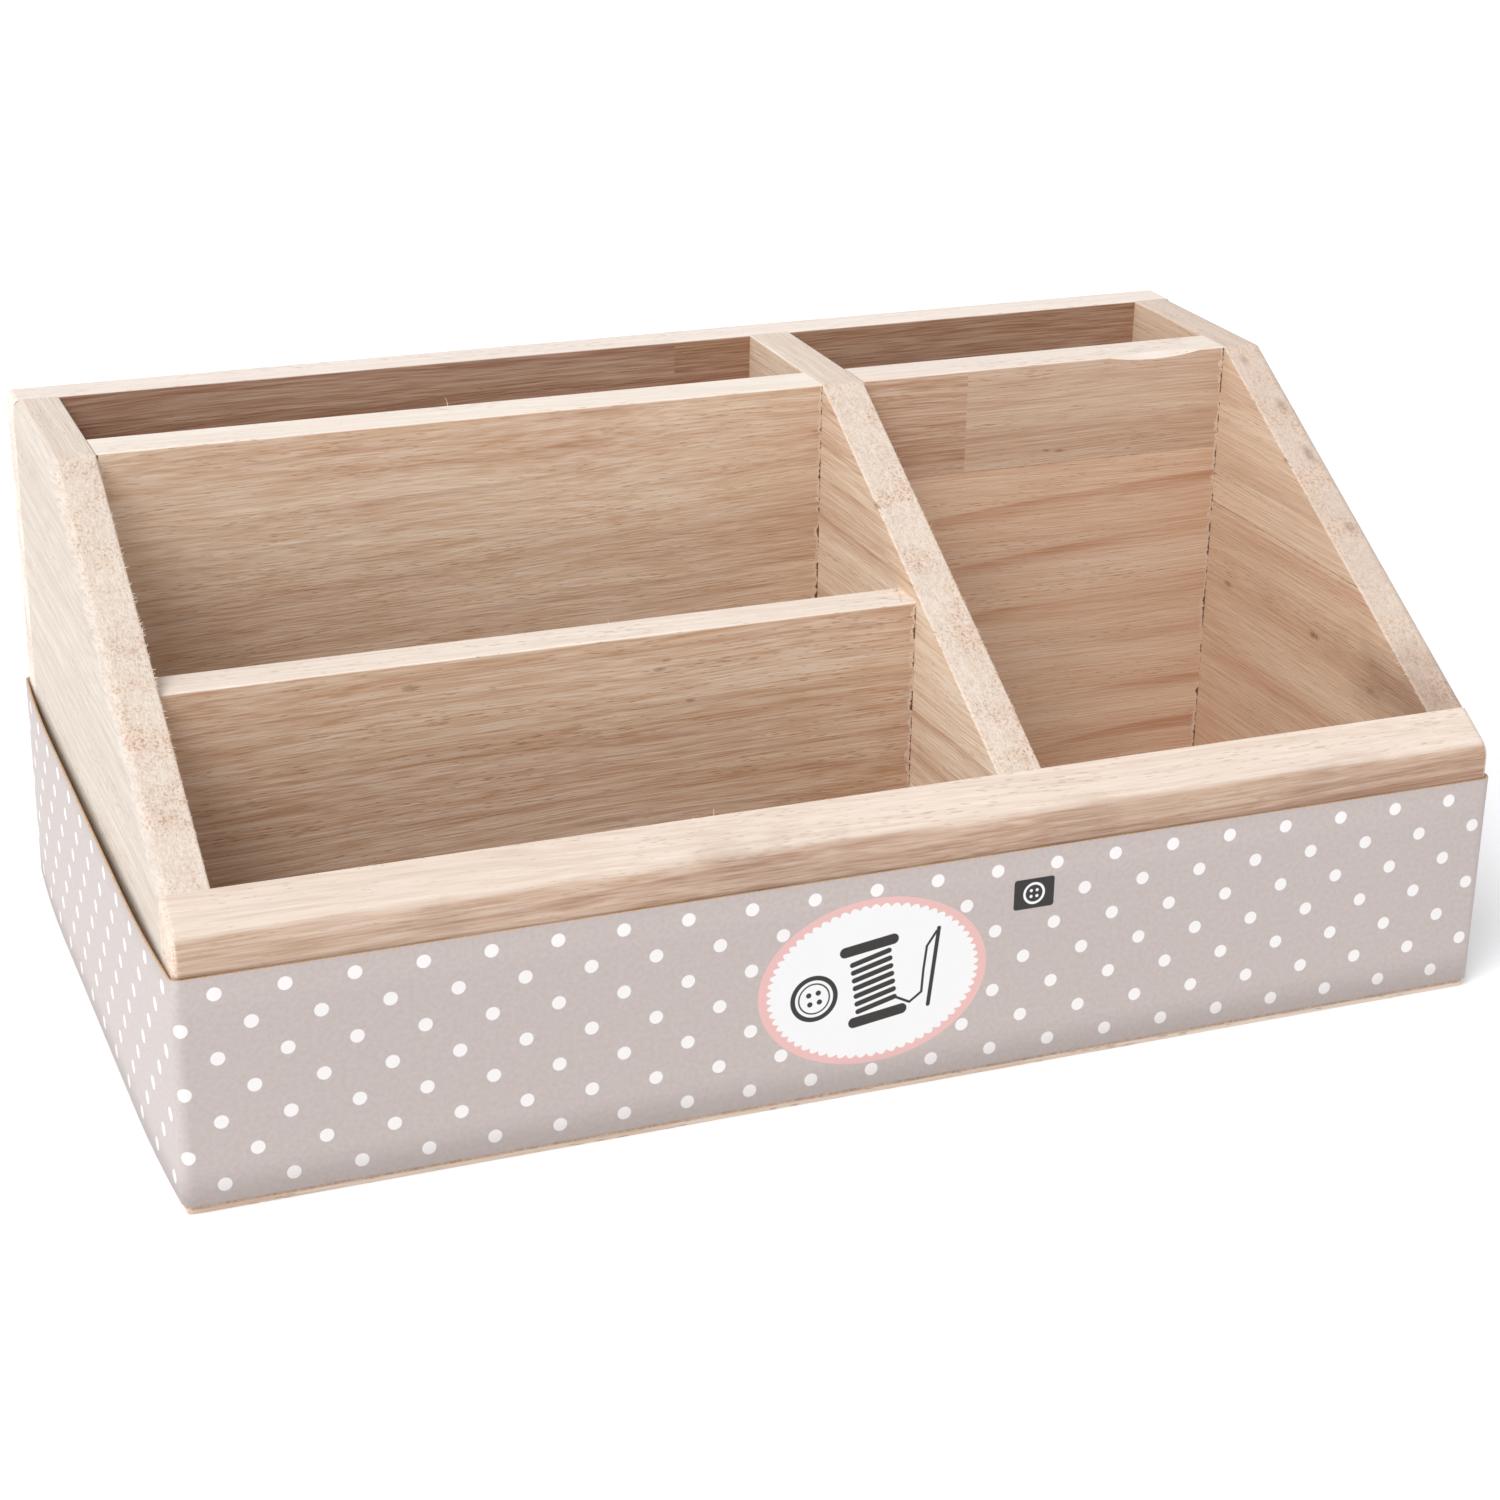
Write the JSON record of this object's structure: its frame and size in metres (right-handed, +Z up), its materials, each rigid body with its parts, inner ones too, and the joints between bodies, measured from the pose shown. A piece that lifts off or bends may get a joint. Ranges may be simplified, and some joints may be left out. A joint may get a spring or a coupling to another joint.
{
  "type": "bobbin box",
  "caption": "Open wooden desk box for bobbins and sewing notions, with sloping ends, fixed dividers and a loose printed card sleeve that lifts off.",
  "frame": {"origin": "centre of the underside of the bottom panel, on the surface the box stands on", "axes": "+X along the length to the right, +Y towards the tall back, +Z up"},
  "size_m": [0.3044, 0.1723, 0.125],
  "materials": {
    "sawn_board": "unfinished, finely sanded",
    "plywood": "unfinished three-ply",
    "steel_brads": "bright wire",
    "printed_card": "matt coated print"
  },
  "bodies": {
    "case": {"front_board": "sawn_board", "back_lower_stave": "sawn_board", "back_upper_left_stave": "sawn_board", "back_upper_right_stave": "sawn_board", "left_end": "sawn_board", "right_end_lower_stave": "sawn_board", "right_end_upper_stave": "sawn_board", "centre_divider": "sawn_board", "rear_left_divider": "sawn_board", "middle_divider": "sawn_board", "rear_right_lower_stave": "sawn_board", "rear_right_upper_left_stave": "sawn_board", "rear_right_upper_right_stave": "sawn_board", "bottom_ply_lower": "plywood", "bottom_ply_core": "plywood", "bottom_ply_upper": "plywood", "bottom_brads": "steel_brads", "front_brads": "steel_brads", "back_brads": "steel_brads"},
    "sleeve": {"card_sleeve": "printed_card"}
  },
  "joints": [
    {"name": "sleeve_lift", "type": "slide", "parent": "case", "child": "sleeve", "axis": [0, 0, 1], "range_m": [0, 0.125]}
  ]
}
